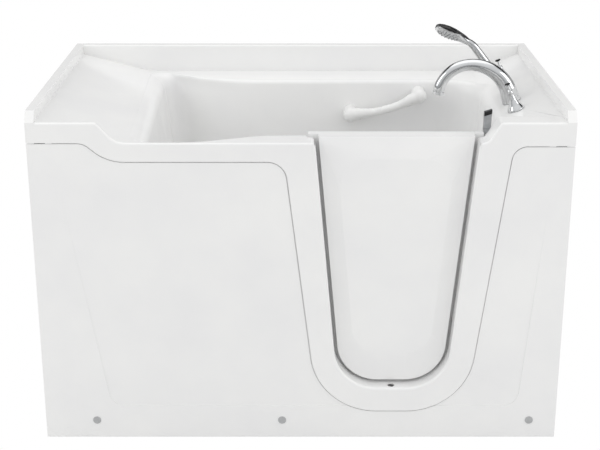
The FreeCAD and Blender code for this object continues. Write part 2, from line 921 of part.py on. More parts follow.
def make_apron(screws):
    sheet = box(-half_length, half_length, apron_face, apron_back, apron_floor_gap, seam_left_height)
    sheet = sheet.cut(skirt_prism(seam_gap, apron_face - overrun, apron_back + overrun))
    corners = [(-half_length + apron_field_left_bottom, apron_field_bottom),
               (half_length - apron_field_right_bottom, apron_field_bottom),
               (half_length - apron_field_right_top, apron_field_fade),
               (-half_length + apron_field_left_top, apron_field_fade)]
    radii = [apron_field_radius, apron_field_radius, 0, 0]
    field = prism(outline(corners, radii, facing(apron_face)), vec(0, apron_field_depth, 0))
    fade = [vec(0, apron_face, apron_field_fade),
            vec(0, apron_face + apron_field_depth, apron_field_bottom),
            vec(0, apron_face, apron_field_bottom)]
    wedge = prism(Part.makePolygon(fade + fade[:1]), vec(tub_length, 0, 0))
    wedge.translate(vec(-half_length, 0, 0))
    return sheet.cut(field.common(wedge)).cut(screws)


def make_apron_screws():
    solids = []
    for x in apron_screw_xs:
        face = vec(x, apron_face, apron_screw_height)
        head = rod(apron_screw_head_radius, face, face + vec(0, apron_screw_head, 0))
        solids.append(joined([head, rod(apron_screw_radius, face, face + vec(0, apron_screw_length, 0))]))
    return solids


def make_screw_caps():
    solids = []
    for x in apron_screw_xs:
        cap = rod(cap_radius, vec(x, apron_face, apron_screw_height), vec(x, front, apron_screw_height))
        rim = [e for e in cap.Edges if abs(e.BoundBox.YMax - front) < running_gap]
        solids.append(cap.makeFillet(cap_round, rim))
    return solids


def square_tube(x0, x1, y0, y1, z0, z1):
    """Hollow square tube along its longest side."""
    outer = box(x0, x1, y0, y1, z0, z1)
    spans = [x1 - x0, y1 - y0, z1 - z0]
    run = spans.index(max(spans))
    trim = [tube_wall, tube_wall, tube_wall]
    trim[run] = -overrun
    return outer.cut(box(x0 + trim[0], x1 - trim[0], y0 + trim[1], y1 - trim[1],
                         z0 + trim[2], z1 - trim[2]))


def frame_lines():
    """Front and back edges of the two long rails."""
    front_line = apron_back
    back_line = back - wall - tube
    return front_line, back_line


def make_frame(screws, studs):
    end = half_length - frame_end_inset
    front_line, back_line = frame_lines()
    tools = screws + studs
    front_rail = square_tube(-end, end, front_line, front_line + tube, rail_bottom, rail_top).cut(tools)
    back_rail = square_tube(-end, end, back_line, back_line + tube, rail_bottom, rail_top).cut(tools)
    between = (front_line + tube, back_line)
    cross = [square_tube(x - tube / 2, x + tube / 2, *between, rail_bottom, rail_top)
             for x in (-end + tube / 2,) + seat_member_xs + floor_member_xs + (end - tube / 2,)]
    under = deck_block(wall)
    posts = []
    for x in (-end, end - tube):
        for y in (front_line, back_line):
            posts.append(square_tube(x, x + tube, y, y + tube, rail_top, deck_height).common(under))
    ledge_under = rim_height - wall
    back_top = square_tube(-end + tube, end - tube, back_line, back_line + tube,
                           ledge_under - tube, ledge_under)
    board_under = seat_height - wall - seat_board_thickness
    seat_posts = [square_tube(x - tube / 2, x + tube / 2, y - tube / 2, y + tube / 2, rail_top, board_under)
                  for x in seat_member_xs for y in seat_post_ys]
    return {"frame_front_rail": front_rail, "frame_back_rail": back_rail,
            "frame_cross_members": group(cross), "frame_corner_posts": group(posts),
            "frame_back_top_rail": back_top, "frame_seat_posts": group(seat_posts)}


def make_seat_board():
    left = -half_length + seat_left_inset + seat_board_margin
    right = -half_length + seat_edge - seat_board_margin
    top = seat_height - wall
    return box(left, right, front + seat_front_inset + seat_board_margin,
               back - seat_back_inset - seat_board_margin, top - seat_board_thickness, top)


def make_floor_bearers():
    half = bearer_length / 2
    return [box(x - bearer_width / 2, x + bearer_width / 2, bearer_y - half, bearer_y + half,
                rail_bottom + tube, floor_height - wall) for x in floor_member_xs]


def foot_places():
    front_line, back_line = frame_lines()
    return [(x, y + tube / 2) for y in (front_line, back_line) for x in foot_xs]


def make_feet():
    studs, nuts, pads = [], [], []
    for x, y in foot_places():
        base = vec(x, y, foot_pad_height - foot_pad_socket)
        studs.append(rod(foot_stud_radius, base, vec(x, y, foot_stud_top)))
        for z in (rail_bottom - foot_nut_height, rail_top):
            nut = hex_nut(foot_nut_width, foot_nut_height, foot_stud_radius, vec(x, y, z), vec(0, 0, 1))
            nuts.append(nut)
        pad = Part.makeCone(foot_pad_radius, foot_pad_top_radius, foot_pad_height, vec(x, y, 0))
        pads.append(pad.cut(studs[-1]))
    return studs, nuts, pads


def make_drain():
    centre = vec(drain_x, drain_y, floor_height)
    bore = drain_tube_radius - drain_tube_wall
    tube_end = -drain_tube_length
    ring = turned([(bore, tube_end), (drain_tube_radius, tube_end), (drain_tube_radius, 0),
                   (drain_flange_radius, 0), (drain_tube_radius, drain_flange_thickness),
                   (bore, drain_flange_thickness)])
    hub = Part.makeCylinder(drain_hub_radius, drain_spider_height, vec(0, 0, tube_end))
    arms = [Part.makeBox(2 * bore, drain_spider_width, drain_spider_height,
                         vec(-bore, -drain_spider_width / 2, tube_end)) for turn in range(2)]
    arms[1].rotate(vec(0, 0, 0), vec(0, 0, 1), 90)
    inside = Part.makeCylinder(bore + drain_tube_wall / 2, drain_spider_height, vec(0, 0, tube_end))
    spider = [arm.common(inside) for arm in arms]
    flange = joined([ring, hub] + spider)
    guide_start = vec(0, 0, 2 * tube_end)
    guide = Part.makeCylinder(stopper_stem_radius + running_gap, 2 * drain_tube_length, guide_start)
    flange = flange.cut(guide)
    seat = drain_flange_thickness + stopper_seat_gap
    stopper = turned([(0, tube_end), (stopper_stem_radius, tube_end), (stopper_stem_radius, seat),
                      (stopper_radius, seat), (stopper_radius * stopper_top_share, seat + stopper_thickness),
                      (0, seat + stopper_thickness)])
    under = -wall
    gasket = turned([(drain_tube_radius, under - drain_gasket_thickness),
                     (drain_body_flange_radius, under - drain_gasket_thickness),
                     (drain_body_flange_radius, under), (drain_tube_radius, under)])
    body_top = under - drain_gasket_thickness
    body_bottom = waste_height - floor_height - drain_body_radius
    body = turned([(0, body_bottom), (drain_body_radius, body_bottom),
                   (drain_body_radius, body_top - drain_body_flange),
                   (drain_body_flange_radius, body_top - drain_body_flange),
                   (drain_body_flange_radius, body_top), (0, body_top)])
    well = Part.makeCylinder(drain_tube_radius, body_top - body_bottom, vec(0, 0, body_bottom + wall))
    for piece in (flange, stopper, gasket, body, well):
        piece.translate(centre)
    centre_line = vec(drain_x, drain_y, waste_height)
    side = rod(waste_bore_radius, centre_line, centre_line + vec(2 * drain_body_radius, 0, 0))
    return flange, stopper, gasket, body.cut([well, side])


def pipe(points, radius, bore):
    """Straight pipes joined at their corners, bored through."""
    outer = [rod(radius, a, b) for a, b in zip(points, points[1:])]
    outer += [Part.makeSphere(radius, p) for p in points[1:-1]]
    inner = [rod(bore, a, b) for a, b in zip(points, points[1:])]
    inner += [Part.makeSphere(bore, p) for p in points[1:-1]]
    return joined(outer).cut(joined(inner))


def make_waste():
    level = vec(drain_x, drain_y, waste_height)
    start = level + vec(math.sqrt(drain_body_radius ** 2 - waste_radius ** 2), 0, 0)
    corner = vec(waste_x, drain_y, waste_height)
    outlet = vec(waste_x, back - waste_outlet_inset, waste_height)
    body = Part.makeCylinder(drain_body_radius, 2 * drain_body_radius,
                             vec(drain_x, drain_y, waste_height - drain_body_radius))
    run = pipe([start, corner], waste_radius, waste_bore_radius).cut(body)
    upright = corner + vec(0, 0, waste_socket_length)
    tee = joined([Part.makeSphere(waste_socket_radius, corner), rod(waste_socket_radius, corner, upright),
                  rod(waste_radius, corner, outlet),
                  rod(waste_socket_radius, outlet - vec(0, waste_socket_length, 0), outlet)])
    run = run.cut(tee)
    tee = tee.cut([rod(waste_bore_radius, start, corner), rod(waste_bore_radius, corner, outlet),
                   rod(waste_radius + soft_gap, outlet - vec(0, waste_socket_depth, 0), outlet),
                   rod(waste_bore_radius, corner, upright), Part.makeSphere(waste_bore_radius, corner)])
    return run, tee


def make_overflow():
    point, outward = overflow_place()
    bevel = overflow_plate_thickness / 2
    plate = turned([(overflow_plate_bore, 0), (overflow_plate_radius, 0), (overflow_plate_radius, bevel),
                    (overflow_plate_radius - bevel, overflow_plate_thickness),
                    (overflow_plate_bore, overflow_plate_thickness)])
    plate.Placement = FreeCAD.Placement(point, FreeCAD.Rotation(vec(0, 0, 1), outward * -1))
    outside = point + outward * wall
    gasket_end = outside + outward * overflow_gasket_thickness
    gasket = rod(overflow_body_radius, outside, gasket_end)
    gasket = gasket.cut([rod(overflow_neck_radius, outside, gasket_end), basin(wall)])
    corner = point + outward * ((waste_x - point.x) / outward.x)
    across = rod(overflow_body_radius, gasket_end, corner)
    neck = rod(overflow_neck_radius, point, gasket_end)
    down = vec(0, 0, -2 * waste_socket_radius)
    elbow = joined([across, neck, Part.makeSphere(overflow_body_radius, corner),
                    rod(overflow_body_radius, corner, corner + down)])
    bores = [rod(overflow_plate_bore, point, corner), rod(waste_bore_radius, corner, corner + down),
             Part.makeSphere(waste_bore_radius, corner)]
    elbow = elbow.cut(bores)
    top = corner + down
    bottom = vec(waste_x, overflow_y, waste_height + waste_socket_length)
    drop = rod(waste_radius, bottom, top).cut(rod(waste_bore_radius, bottom, top))
    return plate, gasket, elbow, drop


def make_door():
    face = front + door_recess
    roll = face + door_roll_depth
    skin_back = face + door_skin_depth
    slab = doorway(-door_gap, roll, skin_back, door_top)
    outer_top = door_top
    field_top = door_top - door_field_top_drop
    field_sill = sill_height + door_field_sill_rise
    edge_half = [door_centre - door_edge_x(z, -door_gap) for z in (sill_height + door_gap, outer_top)]
    inset = -door_gap - door_field_inset
    field_half = [door_centre - door_edge_x(z, inset) for z in (field_sill, field_top)]
    base = [(door_centre - edge_half[0], sill_height + door_gap),
            (door_centre + edge_half[0], sill_height + door_gap),
            (door_centre + edge_half[1], outer_top), (door_centre - edge_half[1], outer_top)]
    field = [(door_centre - field_half[0], field_sill), (door_centre + field_half[0], field_sill),
             (door_centre + field_half[1], field_top), (door_centre - field_half[1], field_top)]
    corner = opening_radius - door_gap
    low = outline(base, [corner, corner, cap_round, cap_round], facing(roll))
    high = outline(field, [door_field_radius] * 4, facing(face))
    pillow = Part.makeLoft([low, high], True, True)
    outer = joined([slab, pillow])
    flange_front = door_wall - door_flange_thickness
    lap = rebate_width - door_flange_gap
    core = doorway(-door_gap, skin_back, flange_front, door_top)
    plate = doorway(lap, flange_front, door_wall, door_top)
    inner = joined([core, plate])
    seal_front = rebate_face + soft_gap
    seal = doorway(seal_outer_lap, seal_front, flange_front, door_top - seal_top_drop)
    seal = seal.cut(doorway(seal_inner_lap, seal_front - overrun, flange_front + overrun))
    return outer, inner, seal


def make_hinges():
    wall_leaves, door_leaves, pins = [], [], []
    seat = door_wall + hinge_leaf_thickness
    axis_y = seat + knuckle_radius - hinge_leaf_thickness
    third = hinge_height / 3
    for height in (hinge_upper, hinge_lower):
        low = height - hinge_height / 2
        levels = [low, low + third, low + 2 * third, low + hinge_height]
        knuckles = []
        for i in range(3):
            z0 = levels[i] + (knuckle_gap if i == 1 else 0)
            z1 = levels[i + 1] - (knuckle_gap if i == 1 else 0)
            axis = [vec(hinge_axis_x, axis_y, z) for z in (z0, z1)]
            knuckles.append(rod(knuckle_radius, axis[0], axis[1]))
        clear = knuckle_radius + knuckle_gap
        left = box(hinge_axis_x - hinge_leaf_length, hinge_axis_x, door_wall, seat, low, low + hinge_height)
        right_end = door_edge_x(height, rebate_width - door_flange_gap) + hinge_grip
        right = box(hinge_axis_x, right_end, door_wall, seat, low, low + hinge_height)
        middle = rod(clear, vec(hinge_axis_x, axis_y, levels[1]), vec(hinge_axis_x, axis_y, levels[2]))
        ends = [rod(clear, vec(hinge_axis_x, axis_y, levels[i] - knuckle_gap),
                    vec(hinge_axis_x, axis_y, levels[i + 1] + knuckle_gap)) for i in (0, 2)]
        start = vec(hinge_axis_x, axis_y, low)
        stop = vec(hinge_axis_x, axis_y, low + hinge_height)
        bore = rod(hinge_pin_radius, start, stop)
        loose = rod(hinge_pin_radius + running_gap, start, stop)
        left = joined([left.cut(middle), knuckles[0], knuckles[2]]).cut(bore)
        right = joined([right.cut(ends), knuckles[1]]).cut(loose)
        keep_out = box(hinge_axis_x - knuckle_gap, right_end, door_wall - overrun, door_wall,
                       low, low + hinge_height)
        wall_leaves.append(left)
        door_leaves.append(right.cut(keep_out))
        head = rod(knuckle_radius, stop, stop + vec(0, 0, hinge_pin_head))
        pins.append(joined([bore, head]))
    return wall_leaves, door_leaves, pins


def make_latch():
    seat = door_wall + latch_base_thickness
    half = latch_base_width / 2
    low, high = latch_height - latch_base_below, latch_height + latch_base_above
    corners = [(latch_x - half, low), (latch_x + half, low), (latch_x + half, high), (latch_x - half, high)]
    base = prism(outline(corners, [half / 2] * 4, facing(door_wall)), vec(0, latch_base_thickness, 0))
    pivot = vec(latch_x, seat + latch_gap, latch_height)
    far = vec(latch_x, seat + latch_gap + latch_thickness, latch_height)
    pin_start = vec(latch_x, door_wall, latch_height)
    pin = joined([rod(latch_pin_radius, pin_start, far + vec(0, latch_gap, 0)),
                  rod(latch_pin_head_radius, far + vec(0, latch_gap, 0),
                      far + vec(0, latch_gap + latch_pin_head, 0))])
    tip = latch_height + latch_length
    root = latch_root_width / 2
    top = latch_tip_width / 2
    arm = [vec(latch_x - root, pivot.y, latch_height), vec(latch_x + root, pivot.y, latch_height),
           vec(latch_x + latch_tip_shift + top, pivot.y, tip),
           vec(latch_x + latch_tip_shift - top, pivot.y, tip - latch_tip_slant)]
    lever = prism(Part.makePolygon(arm + arm[:1]), vec(0, latch_thickness, 0))
    hub = rod(latch_hub_radius, pivot, far)
    tongue = box(latch_x - root, latch_x + root, door_wall + latch_gap, far.y,
                 latch_height + latch_tongue_start, latch_height + latch_tongue_end)
    lever = joined([lever, hub, tongue]).cut(rod(latch_pin_radius + running_gap, pin_start, far))
    x, z = latch_screw_points()[0]
    screw = wall_screws([(x, z)], seat)
    return base.cut(screw + [pin]), lever, pin, screw


def before_back_wall():
    """Space in front of the plane of the back wall."""
    profile = [vec(-half_length, back - seat_back_inset, seat_height),
               vec(-half_length, back_wall, rim_height), vec(-half_length, front, rim_height),
               vec(-half_length, front, seat_height)]
    return prism(Part.makePolygon(profile + profile[:1]), vec(tub_length, 0, 0))


def make_grab_bar():
    """Sagging bar that swells into a knob at each foot, with its studs, washers and nuts."""
    left, right = bar_ends()
    reach = vec(0, -bar_stand_off, 0)
    into_wall = vec(0, overrun, 0)
    chord = right - left
    sag = vec(chord.z, 0, -chord.x).normalize() * bar_sag
    arc = Part.Arc(left + reach, (left + right) * 0.5 + reach + sag, right + reach).toShape()
    section = Part.Wire(Part.makeCircle(bar_radius, left + reach, arc.tangentAt(arc.FirstParameter)))
    solids = [Part.Wire([arc]).makePipeShell([section], True, True)]
    for end, run in ((left, bar_taper_length), (right, arc.Length - bar_taper_length)):
        knob = end + reach
        along = arc.valueAt(arc.getParameterByLength(run)) - knob
        solids.append(Part.makeSphere(bar_knob_radius, knob, along))
        solids.append(rod(bar_foot_radius, end + into_wall, knob))
        solids.append(Part.makeCone(bar_taper_radius, bar_taper_end_radius, along.Length, knob, along))
    bar = joined(solids).common(before_back_wall())
    studs, washers, nuts = [], [], []
    for end in (left, right):
        tail = end + vec(0, wall + bar_stud_tail, 0)
        studs.append(rod(bar_stud_radius, end - vec(0, bar_stud_grip, 0), tail))
        washer_at = end + vec(0, wall + bar_washer_thickness, 0)
        washer = rod(bar_washer_radius, washer_at, washer_at + vec(0, bar_washer_thickness, 0))
        washers.append(washer.cut(studs[-1]))
        nuts.append(hex_nut(bar_nut_width, bar_nut_height, bar_stud_radius,
                            washer_at + vec(0, bar_washer_thickness, 0), vec(0, 1, 0)))
    return bar.cut(studs), studs, washers, nuts


def deck_nut():
    """Nut that clamps a shank under the deck."""
    under = vec(0, 0, -wall - deck_nut_height)
    return hex_nut(deck_nut_width, deck_nut_height, shank_radius, under, vec(0, 0, 1))


def make_handle_set(place):
    """Bell, handle, gasket, valve body, nut and supply tail of one valve."""
    top = gasket_thickness + bell_height
    bore = handle_stem_radius + running_gap
    bell = turned([(bore, gasket_thickness), (bell_base_radius, gasket_thickness),
                   (bell_base_radius, gasket_thickness + bell_lip / 2),
                   (bell_base_radius * bell_shoulder_radius_share,
                    gasket_thickness + bell_height * bell_shoulder_height_share),
                   (bell_waist_radius * bell_neck_radius_share,
                    gasket_thickness + bell_height * bell_neck_height_share),
                   (bell_waist_radius, top - bell_lip), (bell_waist_radius, top), (bore, top)])
    gasket = turned([(bore, 0), (bell_base_radius, 0), (bell_base_radius, gasket_thickness),
                     (bore, gasket_thickness)])
    collar_base = top + knuckle_gap
    bar_level = gasket_thickness + handle_height
    handle = turned([(0, -shank_length / 2), (handle_stem_radius, -shank_length / 2),
                     (handle_stem_radius, collar_base), (handle_collar_radius, collar_base),
                     (handle_collar_radius, collar_base + handle_collar_height),
                     (handle_stem_radius, collar_base + 2 * handle_collar_height),
                     (handle_stem_radius, bar_level), (0, bar_level)])
    half = handle_bar_length / 2
    bar = rod(handle_bar_radius, vec(-half, 0, bar_level), vec(half, 0, bar_level))
    caps = [Part.makeSphere(handle_bar_radius, vec(s * half, 0, bar_level)) for s in (-1, 1)]
    handle = joined([handle, bar] + caps)
    body_bottom = -shank_length - valve_body_length
    body = joined([Part.makeCylinder(shank_radius, shank_length, vec(0, 0, -shank_length)),
                   Part.makeCylinder(valve_body_radius, valve_body_length, vec(0, 0, body_bottom))])
    socket = Part.makeCylinder(bore, shank_length, vec(0, 0, -shank_length / 2))
    body = body.cut(socket)
    nut = deck_nut()
    tail_end = body_bottom - supply_tail_length
    tail = turned([(supply_tail_bore, tail_end), (supply_tail_radius, tail_end),
                   (supply_tail_radius, body_bottom), (supply_tail_bore, body_bottom)])
    return [on_deck(piece, place) for piece in (bell, handle, gasket, body, nut, tail)]


def spout_line():
    """Stations of the spout: centre point, direction of flow and radius."""
    normal, steepness = slope_frame()
    lean = math.atan2(-normal.x, normal.z)
    foot = deck_point(spout_foot)
    bend = foot + normal * (gasket_thickness + spout_riser)
    turn = math.pi / 2 - lean
    right = vec(normal.z, 0, -normal.x)
    centre = bend - right * spout_rise_radius
    stations = [(foot + normal * gasket_thickness, normal, spout_base_radius),
                (bend, normal, spout_neck_radius)]
    steps = 4
    for i in range(1, steps + 1):
        angle = turn * i / steps
        ray = right * math.cos(angle) + normal * math.sin(angle)
        flow = normal * math.cos(angle) - right * math.sin(angle)
        share = i / steps
        radius = spout_neck_radius + (spout_crest_radius - spout_neck_radius) * share
        stations.append((centre + ray * spout_rise_radius, flow, radius))
    crest = stations[-1][0]
    centre = crest - vec(0, 0, spout_reach_radius)
    for i in range(1, steps + 1):
        share = i / steps
        angle = math.radians(spout_reach_angle) * share
        ray = vec(-math.sin(angle), 0, math.cos(angle))
        flow = vec(-math.cos(angle), 0, -math.sin(angle))
        radius = spout_crest_radius + (spout_outlet_radius - spout_crest_radius) * share
        stations.append((centre + ray * spout_reach_radius, flow, radius))
    return stations


def make_spout():
    stations = spout_line()
    rings = [Part.Wire(Part.makeCircle(r, p, d)) for p, d, r in stations]
    spout = Part.makeLoft(rings, True, False)
    tip, flow, radius = stations[-1]
    spout = spout.cut(rod(outlet_bore_radius, tip - flow * outlet_ring_length, tip + flow * overrun))
    end = tip + flow * outlet_ring_length
    ring = rod(outlet_ring_radius, tip, end).cut(rod(outlet_bore_radius, tip, end))
    gasket = turned([(deck_hole_radius, 0), (spout_base_radius, 0), (spout_base_radius, gasket_thickness),
                     (deck_hole_radius, gasket_thickness)])
    shank_end = -shank_length - valve_body_length
    shank = Part.makeCylinder(shank_radius, gasket_thickness - shank_end, vec(0, 0, shank_end))
    nut = deck_nut()
    return [spout, ring] + [on_deck(piece, spout_foot) for piece in (gasket, shank, nut)]


def mixed_pipe(start, end):
    """Pipe under the deck from a valve body to the spout shank."""
    normal, steepness = slope_frame()
    depth = normal * (-shank_length - valve_body_length / 2)
    return rod(mixed_pipe_radius, deck_point(start) + depth, deck_point(end) + depth)


def holder_axis():
    """Direction of the shower holder's bore, tipped further than the deck."""
    normal, steepness = slope_frame()
    return FreeCAD.Rotation(vec(0, 1, 0), -holder_tilt_angle).multVec(normal)


def shower_line():
    """Stations of the grip above its holder: centre point, direction and radius."""
    axis = holder_axis()
    foot = deck_point(shower_foot)
    low_radius = holder_bore_radius - soft_gap
    bend_radius = (grip_swell_radius + grip_neck_radius) / 2
    stations = [(foot + axis * (gasket_thickness + holder_height), axis, low_radius),
                (foot + axis * grip_swell_height, axis, grip_swell_radius),
                (foot + axis * grip_straight, axis, bend_radius)]
    left = vec(-axis.z, 0, axis.x)
    centre = stations[-1][0] + left * grip_bend_radius
    steps = 3
    for i in range(1, steps + 1):
        angle = math.radians(grip_bend_angle) * i / steps
        ray = axis * math.sin(angle) - left * math.cos(angle)
        flow = axis * math.cos(angle) + left * math.sin(angle)
        radius = bend_radius + (grip_neck_radius - bend_radius) * i / steps
        stations.append((centre + ray * grip_bend_radius, flow, radius))
    return stations


def head_frame():
    """Middle of the shower head, and the turn with +Z along the spray, +Y to the tip."""
    point, flow, radius = shower_line()[-1]
    spray = FreeCAD.Rotation(flow, head_roll_angle).multVec(vec(-flow.z, 0, flow.x))
    turn = FreeCAD.Rotation(flow.cross(spray), flow, spray, "ZYX")
    return point + flow * head_length * head_centre_share, turn


def at_head(shape):
    """Puts a piece made about the origin at the shower head."""
    centre, turn = head_frame()
    shape.Placement = FreeCAD.Placement(centre, turn).multiply(shape.Placement)
    return shape


def shower_section(point, flow, half_width, half_depth):
    """Oval across the shower's line, its width along the head's face."""
    centre, turn = head_frame()
    across = turn.multVec(vec(1, 0, 0))
    oval = Part.makeCircle(half_width)
    if half_width > half_depth:
        oval = Part.Ellipse(vec(0, 0, 0), half_width, half_depth).toShape()
    stand = FreeCAD.Rotation(across, flow.cross(across), flow, "ZXY")
    oval.Placement = FreeCAD.Placement(point, stand)
    return Part.Wire(oval)


def head_sections(extra):
    """Sections of the head from neck to tip, each deeper by extra on either side."""
    neck, flow, radius = shower_line()[-1]
    sections = []
    for reach, width, depth in zip(head_station_shares, head_width_shares, head_depth_shares):
        sections.append(shower_section(neck + flow * head_length * reach, flow,
                                       head_half_width * width, head_half_depth * depth + extra))
    return sections


def make_shower():
    stations = shower_line()
    grip_sections = [shower_section(p, d, r, r) for p, d, r in stations]
    holder_top, axis, low_radius = stations[0]
    foot = rod(low_radius, deck_point(shower_foot) + axis * (gasket_thickness + holder_floor), holder_top)
    spoon = Part.makeLoft(grip_sections + head_sections(0), True, True)
    half_head = head_length * head_centre_share
    beyond = Part.makeBox(2 * head_half_width, half_head + overrun, overrun,
                          vec(-head_half_width, -half_head / 2, face_drop))
    face = Part.makeCylinder(face_radius, face_thickness, vec(0, 0, face_drop + face_proud - face_thickness))
    behind = Part.makeBox(2 * head_length, 2 * head_length, overrun,
                          vec(-head_length, -half_head, -back_cover_parting - overrun))
    beyond, face, behind = [at_head(piece) for piece in (beyond, face, behind)]
    raised = Part.makeLoft(grip_sections[-1:] + head_sections(back_cover_thickness), True, True)
    cover = raised.common(behind).cut(spoon)
    nozzles = []
    for count, radius in zip(nozzle_counts, nozzle_ring_radii):
        for i in range(count):
            angle = 2 * math.pi * i / count
            base = vec(radius * math.cos(angle), radius * math.sin(angle), face_drop + face_proud)
            nozzle = Part.makeCone(nozzle_radius, nozzle_radius / 2, nozzle_length)
            nozzle.translate(base)
            nozzles.append(at_head(nozzle))
    body = spoon.cut(beyond).cut(face).fuse(foot)
    return body, cover, face, nozzles


def make_holder():
    axis = holder_axis()
    seat = deck_point(shower_foot)
    shoulder = gasket_thickness + holder_height / 2
    base = turned([(0, gasket_thickness), (holder_base_radius, gasket_thickness),
                   (holder_base_radius, gasket_thickness + bell_lip), (holder_top_radius, shoulder),
                   (0, shoulder)])
    gasket = turned([(deck_hole_radius, 0), (holder_base_radius, 0), (holder_base_radius, gasket_thickness),
                     (deck_hole_radius, gasket_thickness)])
    shank = Part.makeCylinder(shank_radius, gasket_thickness + shank_length, vec(0, 0, -shank_length))
    nut = deck_nut()
    base, gasket, shank, nut = [on_deck(piece, shower_foot) for piece in (base, gasket, shank, nut)]
    top = seat + axis * (gasket_thickness + holder_height)
    cup = rod(holder_top_radius, seat + axis * (holder_floor + gasket_thickness), top)
    floor = seat + axis * (gasket_thickness + holder_floor - soft_gap)
    holder = joined([base, cup]).cut(rod(holder_bore_radius, floor, top + axis * overrun))
    return holder, gasket, shank, nut


def build():
    nodes = {}
    cavity = basin(0)
    screws = make_apron_screws()
    studs, foot_nuts, pads = make_feet()
    nodes["tub_shell"] = make_tub_shell(cavity)
    nodes["front_apron"] = make_apron(screws)
    nodes["apron_screws"] = group(screws)
    nodes["apron_screw_caps"] = group(make_screw_caps())
    nodes.update(make_frame(screws, studs))
    nodes["seat_board"] = make_seat_board()
    nodes["floor_bearers"] = group(make_floor_bearers())
    nodes["foot_studs"] = group(studs)
    nodes["foot_nuts"] = group(foot_nuts)
    nodes["foot_pads"] = group(pads)
    flange, stopper, gasket, body = make_drain()
    nodes["drain_flange"] = flange
    nodes["drain_stopper"] = stopper
    nodes["drain_gasket"] = gasket
    nodes["drain_body"] = body
    run, tee = make_waste()
    nodes["waste_pipe"] = run
    nodes["waste_tee"] = tee
    plate, gasket, elbow, drop = make_overflow()
    nodes["overflow_plate"] = plate
    nodes["overflow_gasket"] = gasket
    nodes["overflow_elbow"] = elbow
    nodes["overflow_pipe"] = drop
    outer, inner, seal = make_door()
    door_screws = wall_screws(hinge_screw_points(1), door_wall + hinge_leaf_thickness)
    frame_screws = wall_screws(hinge_screw_points(-1), door_wall + hinge_leaf_thickness)
    wall_leaves, door_leaves, pins = make_hinges()
    nodes["door_outer_panel"] = outer
    nodes["door_inner_panel"] = inner.cut(door_screws)
    nodes["door_seal"] = seal
    nodes["hinge_wall_leaves"] = group([leaf.cut(frame_screws) for leaf in wall_leaves])
    nodes["hinge_door_leaves"] = group([leaf.cut(door_screws) for leaf in door_leaves])
    nodes["hinge_pins"] = group(pins)
    nodes["hinge_door_screws"] = group(door_screws)
    base, lever, pin, latch_screws = make_latch()
    nodes["latch_base"] = base
    nodes["latch_lever"] = lever
    nodes["latch_pin"] = pin
    nodes["wall_screws"] = group(frame_screws + latch_screws)
    bar, bar_studs, washers, nuts = make_grab_bar()
    nodes["grab_bar"] = bar
    nodes["grab_bar_studs"] = group(bar_studs)
    nodes["grab_bar_washers"] = group(washers)
    nodes["grab_bar_nuts"] = group(nuts)
    gaskets, deck_nuts = [], []
    for name, place in (("front", front_handle), ("rear", rear_handle)):
        bell, handle, gasket, valve, nut, tail = make_handle_set(place)
        nodes[name + "_handle_bell"] = bell
        nodes[name + "_handle"] = handle
        nodes[name + "_valve_body"] = valve
        nodes[name + "_supply_tail"] = tail
        gaskets.append(gasket)
        deck_nuts.append(nut)
    spout, ring, gasket, shank, nut = make_spout()
    nodes["spout"] = spout
    nodes["spout_outlet_ring"] = ring
    nodes["spout_shank"] = shank
    gaskets.append(gasket)
    deck_nuts.append(nut)
    mixed = [mixed_pipe(front_handle, spout_foot), mixed_pipe(spout_foot, rear_handle)]
    carried = [nodes["front_valve_body"], nodes["rear_valve_body"], shank]
    nodes["mixed_water_pipes"] = group([p.cut(carried) for p in mixed])
    holder, gasket, shank, nut = make_holder()
    nodes["shower_holder"] = holder
    nodes["shower_shank"] = shank
    gaskets.append(gasket)
    deck_nuts.append(nut)
    nodes["deck_gaskets"] = group(gaskets)
    nodes["deck_nuts"] = group(deck_nuts)
    body, cover, face, nozzles = make_shower()
    nodes["shower_body"] = body
    nodes["shower_back_cover"] = cover
    nodes["shower_face"] = face
    nodes["shower_nozzles"] = group(nozzles)
    return nodes


os.makedirs("parts", exist_ok=True)
for node, shape in build().items():
    shape.exportStep("parts/" + node + ".step")
    solids = shape.Solids
    print(node, len(solids), all(s.isValid() for s in solids), round(sum(s.Volume for s in solids)))
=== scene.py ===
import json
import math

import bpy
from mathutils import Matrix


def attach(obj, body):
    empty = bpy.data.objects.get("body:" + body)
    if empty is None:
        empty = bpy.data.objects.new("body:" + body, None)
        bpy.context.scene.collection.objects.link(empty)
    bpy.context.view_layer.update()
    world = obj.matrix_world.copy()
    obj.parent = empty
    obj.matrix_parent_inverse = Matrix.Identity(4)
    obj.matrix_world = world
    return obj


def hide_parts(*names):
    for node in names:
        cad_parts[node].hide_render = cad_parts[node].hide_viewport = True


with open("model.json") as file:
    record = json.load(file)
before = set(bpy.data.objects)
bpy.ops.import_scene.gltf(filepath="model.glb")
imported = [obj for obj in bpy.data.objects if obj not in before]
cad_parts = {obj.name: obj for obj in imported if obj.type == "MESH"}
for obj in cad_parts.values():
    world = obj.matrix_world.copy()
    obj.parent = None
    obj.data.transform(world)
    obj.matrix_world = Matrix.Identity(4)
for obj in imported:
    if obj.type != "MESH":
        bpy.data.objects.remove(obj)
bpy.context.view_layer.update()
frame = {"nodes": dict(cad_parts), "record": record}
nodes = frame["nodes"]
slots = {entry["node"]: entry["material_slot"] for entry in frame["record"]["subparts"]}
scene = bpy.context.scene

MM = 0.001
WHITE = "FFFFFF"

# Camera of the photo: place in metres, pitch in degrees, lens and sensor in mm, sideways shift
CAMERA_PLACE = (0.0, -3.9017, 1.9244)
CAMERA_PITCH = 70.16
CAMERA_LENS = 77.6
CAMERA_SENSOR = 36
CAMERA_SHIFT = -0.0013

# Corners of a CAD mesh that lie closer than this are merged
MERGE = 0.01 * MM

